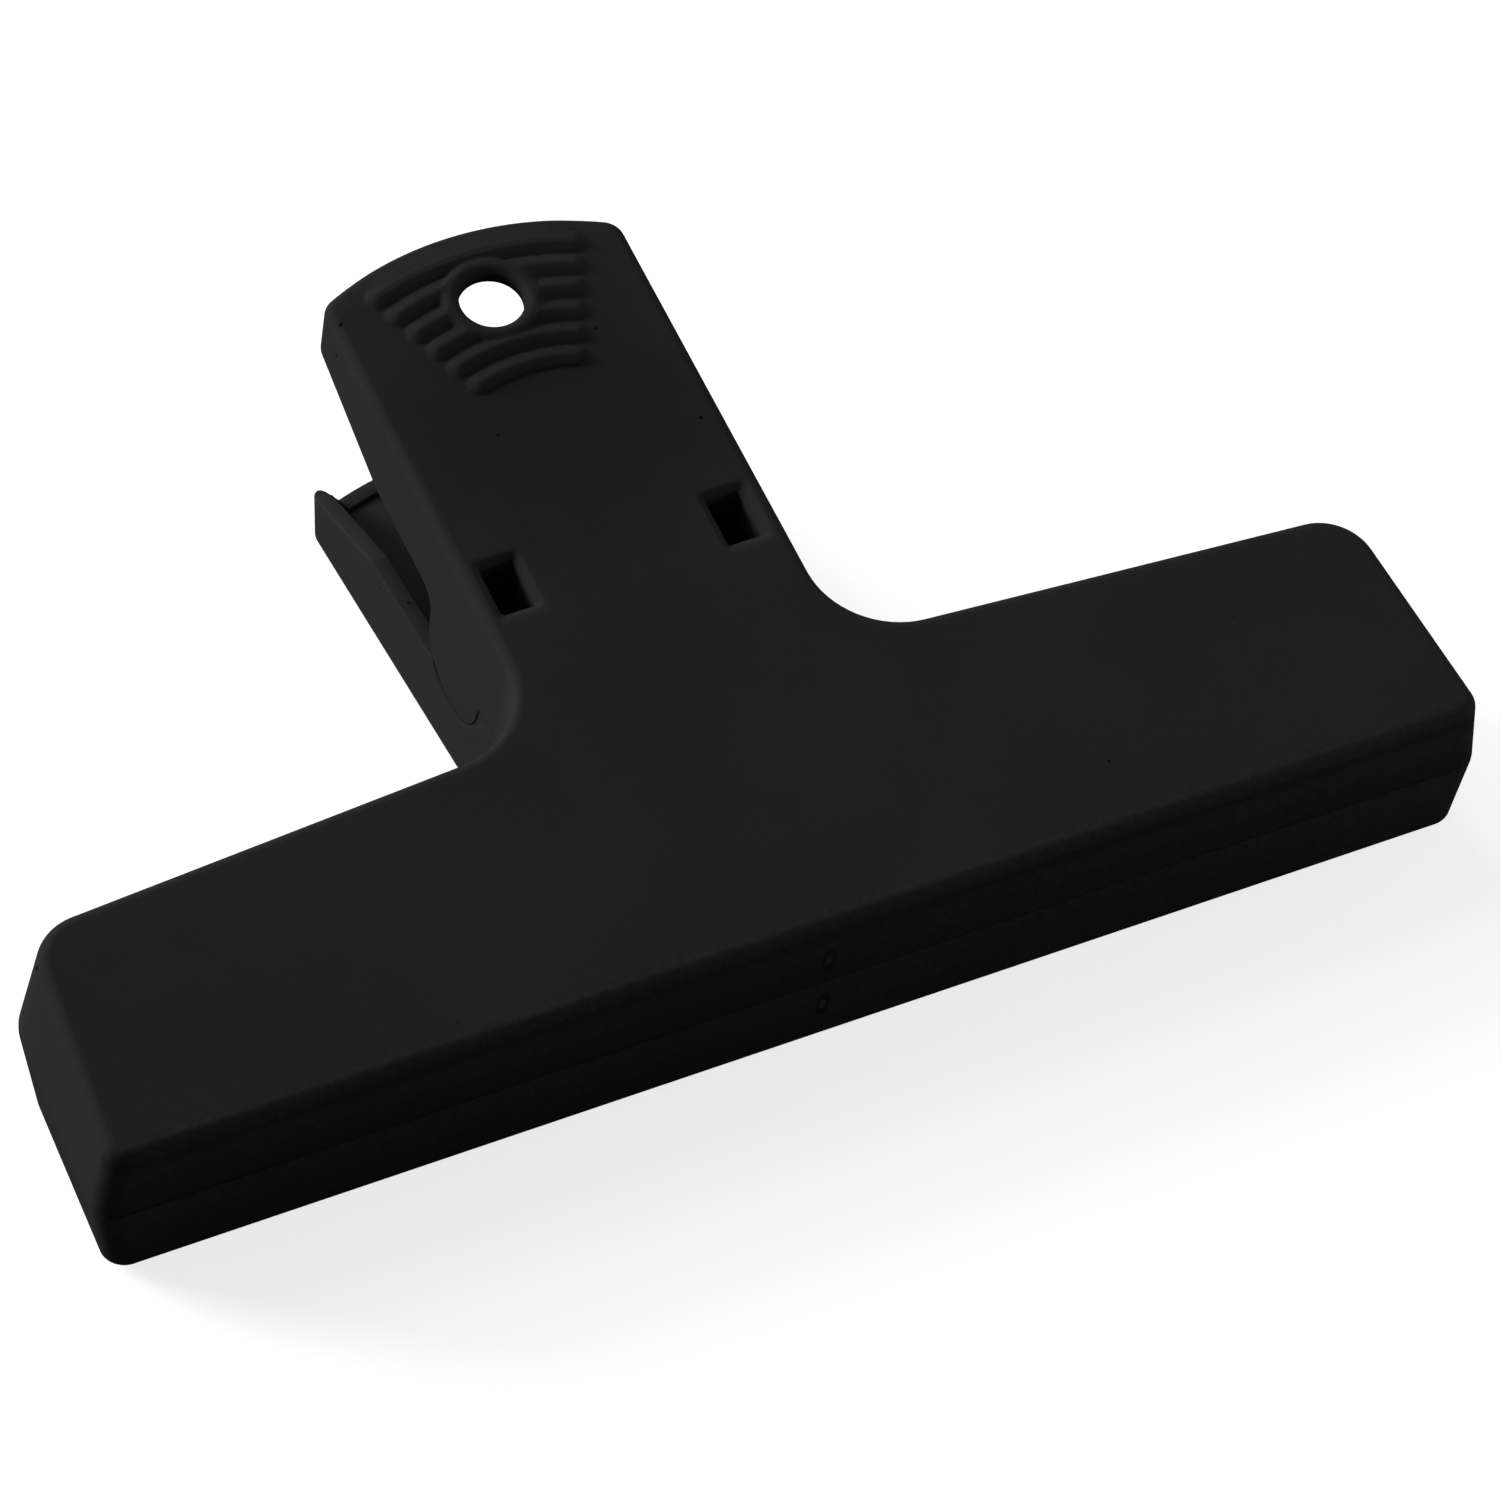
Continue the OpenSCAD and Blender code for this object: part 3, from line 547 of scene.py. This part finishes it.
class Shade:
    """A shader socket with arithmetic: each operator adds a Math node."""

    def __init__(self, tree, socket):
        self.tree, self.socket = tree, socket

    def node(self, kind, sockets, out=0, **settings):
        """Adds a node of a type: settings first, then the values or links of its sockets."""
        made = self.tree.nodes.new(kind)
        for key, value in settings.items():
            if key == "stops":
                ramp = made.color_ramp.elements
                for i, (at, level) in enumerate(value):
                    stop = ramp[i] if i < len(ramp) else ramp.new(at)
                    stop.position, stop.color = at, grey(level)
            else:
                setattr(made, key, value)
        for key, value in sockets.items():
            if isinstance(value, Shade):
                self.tree.links.new(value.socket, made.inputs[key])
            else:
                made.inputs[key].default_value = value
        return Shade(self.tree, made.outputs[out])

    def maths(self, operation, other):
        return self.node("ShaderNodeMath", {0: self, 1: other}, operation=operation)

    def __add__(self, other):
        return self.maths("ADD", other)

    def __mul__(self, other):
        return self.maths("MULTIPLY", other)

    __radd__, __rmul__ = __add__, __mul__

    def __sub__(self, other):
        return self.maths("SUBTRACT", other)

    def __rsub__(self, other):
        return (self * -1.0) + other

    def over(self, low, high):
        """0 below low, 1 above high, smooth between."""
        sockets = {0: self, 1: low, 2: high, 3: 0.0, 4: 1.0}
        return self.node("ShaderNodeMapRange", sockets, interpolation_type="SMOOTHSTEP")

    def noise(self, scale, detail=2.0, rough=0.5):
        """Noise from 0 to 1 at this position socket."""
        sockets = {"Vector": self, "Scale": scale, "Detail": detail, "Roughness": rough}
        return self.node("ShaderNodeTexNoise", sockets)

    def distance(self, point):
        """Distance of this position from a point, in metres."""
        return self.node("ShaderNodeVectorMath", {0: self, 1: point}, out=1, operation="DISTANCE")

    def blend(self, dark, pale):
        """Colour between two colours."""
        return self.node("ShaderNodeMix", {0: self, 6: dark, 7: pale}, out=2, data_type="RGBA")


def finish(name, **constants):
    """A Principled material with constants on its own sockets. Returns it, its shader and a position."""
    material = bpy.data.materials.new(name)
    material.use_nodes = True
    tree = material.node_tree
    shader = tree.nodes["Principled BSDF"]
    for key, value in constants.items():
        shader.inputs[key.replace("_", " ")].default_value = value
    where = tree.nodes.new("ShaderNodeTexCoord")
    return material, shader, Shade(tree, where.outputs["Object"])


def connect(shade, shader, key):
    """Links a socket to one of the shader's own."""
    shade.tree.links.new(shade.socket, shader.inputs[key])


plastic, shader, spot = finish("black_plastic", Specular_IOR_Level=0.0)
cloud = spot.noise(45, 3).over(0.3, 0.7)
speckle = spot.noise(2600, 2).over(0.25, 0.75)
# About a third of the cells of a Voronoi pattern, 190 to the metre, have a pit in their middle, bumped in
# and painted near black as the shade inside it
PIT_CELLS, PIT_EDGE, PIT_CHANCE = 190.0, (0.03, 0.055), (0.66, 0.68)
cells = {"Vector": spot, "Scale": PIT_CELLS}
pit = spot.node("ShaderNodeTexVoronoi", cells, feature="F1")
chance = spot.node("ShaderNodeTexVoronoi", cells, out=1, feature="F1")
chance = chance.node("ShaderNodeSeparateColor", {0: chance})
pit = (1 - pit.over(*PIT_EDGE)) * chance.over(*PIT_CHANCE)
# A broad patch on the upper handle's face, between the windows and the grip, is painted shade with a noisy
# edge
HANDLE_SHADE_SPOT, HANDLE_SHADE_EDGE = (0.0, 0.0215, 0.033), (0.008, 0.032)
painted_handle_shade = 1 - (spot.distance(HANDLE_SHADE_SPOT) + spot.noise(160, 3) * 0.012).over(*HANDLE_SHADE_EDGE)
# Painted shade lies in bands along the front walls, darkest by the edges and by the seam. Each band is
# given as a share of 20 mm above the floor, and how dark it is.
FRONT_WALL, FRONT_SHADE_HIGH = (-0.0458, -0.0445), 0.02
FRONT_SHADE_BANDS = [(0.04, 0.9), (0.44, 0.1), (0.505, 0.15), (0.53, 0.95), (0.66, 0.6),
              (0.8, 0.1), (0.87, 0.35), (0.905, 0.9), (0.96, 0.0)]
spot_y, spot_z = (spot.node("ShaderNodeSeparateXYZ", {0: spot}, out=axis) for axis in ("Y", "Z"))
front = 1 - spot_y.over(*FRONT_WALL)
mottle = spot.noise(1700, 3, 0.7).over(0.35, 0.65)
up = (spot_z + spot.noise(300, 2) * 0.0008) * (1 / FRONT_SHADE_HIGH)
painted_front_shade = up.node("ShaderNodeValToRGB", {0: up}, stops=FRONT_SHADE_BANDS)
tone = cloud * 0.25 + speckle * 0.2 + 0.45
# Painted shade darkens the tone: the handle's patch, the pits and the bands along the front walls
tone = (tone - painted_handle_shade * 0.6) * (1 - pit * 0.8) - front * painted_front_shade * 0.9 + front * (mottle - 0.5) * 0.6
# Each moulding was gated in the middle of its front wall, which left a tall oval dimple with a nub. The
# dimple is bumped in and painted darker as its shade; the nub has no bump and is a painted highlight
GATE_X, GATE_HEIGHTS, GATE_SQUASH = 0.0011, (0.0136, 0.0063), 0.45
NUB_HIGHLIGHT_EDGE, DIMPLE_START, DIMPLE_END = (0.0002, 0.0004), (0.0003, 0.0005), (0.0006, 0.001)
squeezed = spot.node("ShaderNodeVectorMath", {0: spot, 1: (1.0, 0.0, GATE_SQUASH)}, operation="MULTIPLY")
gates = [squeezed.distance((GATE_X, 0.0, GATE_SQUASH * z)) for z in GATE_HEIGHTS]
gate = gates[0].maths("MINIMUM", gates[1])
dimple = front * gate.over(*DIMPLE_START) * (1 - gate.over(*DIMPLE_END))
painted_nub_highlight = front * (1 - gate.over(*NUB_HIGHLIGHT_EDGE))
colour = tone.blend(grey(0.0095, 0.0001), grey(0.0142, 0.0001))
# Painted shade: the pits and the gate's dimple are darkened towards near black
colour = (pit * 0.9 + dimple * 0.4).blend(colour, grey(0.001))
# Painted highlight: the gate's nub is lightened
connect((painted_nub_highlight * 0.35).blend(colour, grey(0.028)), shader, "Base Color")
connect(speckle * 0.08 + cloud * 0.05 + 0.4, shader, "Roughness")
height = speckle * 0.2 - pit - dimple
bump = height.node("ShaderNodeBump", {"Strength": 0.35, "Distance": 0.00006, "Height": height})
connect(bump, shader, "Normal")
for half in halves.values():
    half.data.materials.append(plastic)

# ---- Hinge pin ----
# A plain steel pin, cut from drawn wire with chamfered ends, snapped into the hooks of both mouldings and
# hidden by the ears. It is a profile turned about the hinge: hinge + radius * (cos, sin).
pin_skin = Skin()
reach = HANDLE_HALF - WALL - SIDE_GAP
profile_x = np.array([-1, -1, -0.98, -0.9, 0.9, 0.98, 1, 1]) * reach
profile_r = np.array([0, 0.8, 1, 1, 1, 1, 0.8, 0]) * PIN_RADIUS
turn = np.linspace(0, 2 * math.pi, 73)[:-1]
pin_skin.stack(
    profile_x[:, None] + 0 * turn,
    hinge[1] - profile_r[:, None] * np.cos(turn),
    hinge[2] + profile_r[:, None] * np.sin(turn),
)
pin = pin_skin.piece("hinge_pin", lambda p: p, smooth=30)
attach(pin, "lower")
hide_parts("pivot_pin")

steel, shader, spot = finish("drawn_steel", Metallic=1.0)
streak = spot.node("ShaderNodeMapping", {"Vector": spot, "Scale": (60.0, 2200.0, 2200.0)}).noise(1.0, 3)
connect(streak.blend(grey(0.42, 0.01), grey(0.6)), shader, "Base Color")
connect(streak * 0.2 + 0.25, shader, "Roughness")
pin.data.materials.append(steel)

# ---- Torsion spring ----
# One length of 1.6 mm spring steel wire, wound a little over four turns round the pin. A leg leaves each
# end of the coil on a tangent and presses on the inside of its handle. A round section is carried along
# this path, whose coil has five turns less what the legs' directions take off.
COIL_RADIUS, COIL_PITCH, COIL_TURNS, LEG_REACH, LEG_GAP, WIRE_END = 3.7, 2.4, 5, 24, 0.15, 0.8
leg_end = np.array([LEG_REACH, PLATE + WIRE + LEG_GAP - HINGE_Z])
leg_angle = math.atan2(leg_end[1], leg_end[0]) + math.asin(COIL_RADIUS / np.linalg.norm(leg_end))
first_turn = leg_angle - math.pi / 2
sweep = 2 * math.pi * COIL_TURNS + 2 * first_turn - 2 * HALF_ANGLE
leg_x = sweep / (2 * math.pi) * COIL_PITCH / 2
leg_length = math.sqrt(leg_end @ leg_end - COIL_RADIUS**2)
t = np.linspace(0, 1, 260)[:, None]
angle = first_turn - sweep * t
coil = np.hstack([leg_x * (1 - 2 * t), COIL_RADIUS * np.cos(angle), COIL_RADIUS * np.sin(angle)])
along = np.linspace(leg_length, 0, 14)[:-1, None]
lower_leg = coil[0] + along * [0, math.cos(leg_angle), math.sin(leg_angle)]
upper_angle = 2 * HALF_ANGLE - leg_angle
upper_leg = coil[-1] + along[::-1] * [0, math.cos(upper_angle), math.sin(upper_angle)]
path = np.vstack([lower_leg, coil, upper_leg])
tangent = np.gradient(path, axis=0)
tangent /= np.linalg.norm(tangent, axis=1, keepdims=True)
side = np.array([1, 0, 0]) - tangent * tangent[:, :1]
side /= np.linalg.norm(side, axis=1, keepdims=True)
other = np.cross(tangent, side)
thick = WIRE * np.concatenate([[0, WIRE_END], np.ones(len(path)), [WIRE_END, 0]])
path, side, other = (np.pad(v, ((2, 2), (0, 0)), mode="edge") for v in (path, side, other))
round_wire = np.linspace(0, 2 * math.pi, 17)[:-1]
tube = path[:, None] + thick[:, None, None] * (
    np.cos(round_wire)[:, None] * side[:, None] + np.sin(round_wire)[:, None] * other[:, None]
)
wire_skin = Skin()
wire_skin.stack(tube[..., 0], tube[..., 1], tube[..., 2])
wire = wire_skin.piece("spring_wire", lambda p: p + hinge, smooth=40)
coil_ends = [((hinge + (x, 0, 0)) / 1000).tolist() for x in (leg_x - WIRE, WIRE - leg_x)]
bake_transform(wire)
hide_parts("torsion_spring")
wire.data.materials.append(steel)

# ---- Floor, light and camera ----
# A pale studio floor, a low window light from the left and behind, a large ceiling light from behind and a
# weak fill from the right. The camera stands at the photograph's angle: to the left of the jaws and about
# fifty degrees up.
FLOOR_HALF, FLOOR_COLOUR, FLOOR_GLOW, ROOM_LIGHT = 3, grey(0.22), 0.78, 0.22
floor_mesh = bpy.data.meshes.new("studio_floor")
corners = [(x * FLOOR_HALF, y * FLOOR_HALF, 0) for x, y in ((-1, -1), (1, -1), (1, 1), (-1, 1))]
floor_mesh.from_pydata(corners, [], [(0, 1, 2, 3)])
floor = bpy.data.objects.new("studio_floor", floor_mesh)
bpy.context.scene.collection.objects.link(floor)
paper, shader, spot = finish("pale_paper", Base_Color=FLOOR_COLOUR, Roughness=0.9, Specular_IOR_Level=0.1)
shader.inputs["Emission Strength"].default_value = FLOOR_GLOW
kinds = ("Is Camera Ray", "Is Glossy Ray", "Is Transmission Ray")
seen = [spot.node("ShaderNodeLightPath", {}, out=kind) for kind in kinds]
connect((seen[0] + seen[1] + seen[2]).blend(grey(0.0), grey(1.0)), shader, "Emission Color")
floor_mesh.materials.append(paper)

world = bpy.data.worlds.new("studio")
bpy.context.scene.world = world
world.use_nodes = True
background = world.node_tree.nodes["Background"].inputs
background["Color"].default_value, background["Strength"].default_value = grey(1.0), ROOM_LIGHT


def softbox(name, azimuth, elevation, distance, size, power):
    """A square area light that looks at the origin from an azimuth, 0 in front, and an elevation."""
    a, e = math.radians(azimuth), math.radians(elevation)
    place = distance * Vector((math.cos(e) * math.sin(a), -math.cos(e) * math.cos(a), math.sin(e)))
    light = bpy.data.lights.new(name, "AREA")
    light.shape, light.size, light.energy = "SQUARE", size, power
    lamp = bpy.data.objects.new(name, light)
    lamp.matrix_world = Matrix.Translation(place) @ place.to_track_quat("Z", "Y").to_matrix().to_4x4()
    bpy.context.scene.collection.objects.link(lamp)


softbox("window", azimuth=-130, elevation=21, distance=0.85, size=0.32, power=15.3)
softbox("ceiling", azimuth=-165, elevation=50, distance=1.2, size=0.9, power=10.8)
softbox("side_fill", azimuth=62, elevation=12, distance=0.42, size=0.15, power=0.75)

# The focal length is in widths of the picture. The camera's place is counted from the jaws' front, which
# lies FRONT_TO_HINGE before the hinge.
CAM_AZIMUTH, CAM_ELEVATION, CAM_ROLL, SENSOR = -0.541027, 0.887891, 0.125338, 36
CAM_FOCAL, CAM_X, CAM_Y, CAM_DISTANCE, FRONT_TO_HINGE = 6653.4 / 1500, -6.619, 23.636, 669.154, 51.37
ca, sa = math.cos(CAM_AZIMUTH), math.sin(CAM_AZIMUTH)
ce, se = math.cos(CAM_ELEVATION), math.sin(CAM_ELEVATION)
back = np.array([sa * ce, -ca * ce, se])
level = np.array([ca, sa, 0])
upright = np.cross(back, level)
cr, sr = math.cos(CAM_ROLL), math.sin(CAM_ROLL)
right, up = cr * level + sr * upright, -sr * level + cr * upright
# These directions are level with the parting plane, which the lower half's lie tilts by half the jaw angle
c, s = math.cos(HALF_ANGLE), math.sin(HALF_ANGLE)
tilt = np.array([[1, 0, 0], [0, c, -s], [0, s, c]])
stand = tilt @ (CAM_X * right + CAM_Y * up + CAM_DISTANCE * back - (0, FRONT_TO_HINGE, 0)) + hinge
camera = bpy.data.objects.new("camera", bpy.data.cameras.new("camera"))
turned = Matrix(np.stack([tilt @ right, tilt @ up, tilt @ back], 1).tolist()).to_4x4()
camera.matrix_world = Matrix.Translation(Vector((stand / 1000).tolist())) @ turned
camera.data.sensor_width = SENSOR
camera.data.lens = CAM_FOCAL * SENSOR
camera.data.clip_start = 0.01
bpy.context.scene.collection.objects.link(camera)
bpy.context.scene.camera = camera
bpy.context.scene.view_settings.view_transform = "Standard"
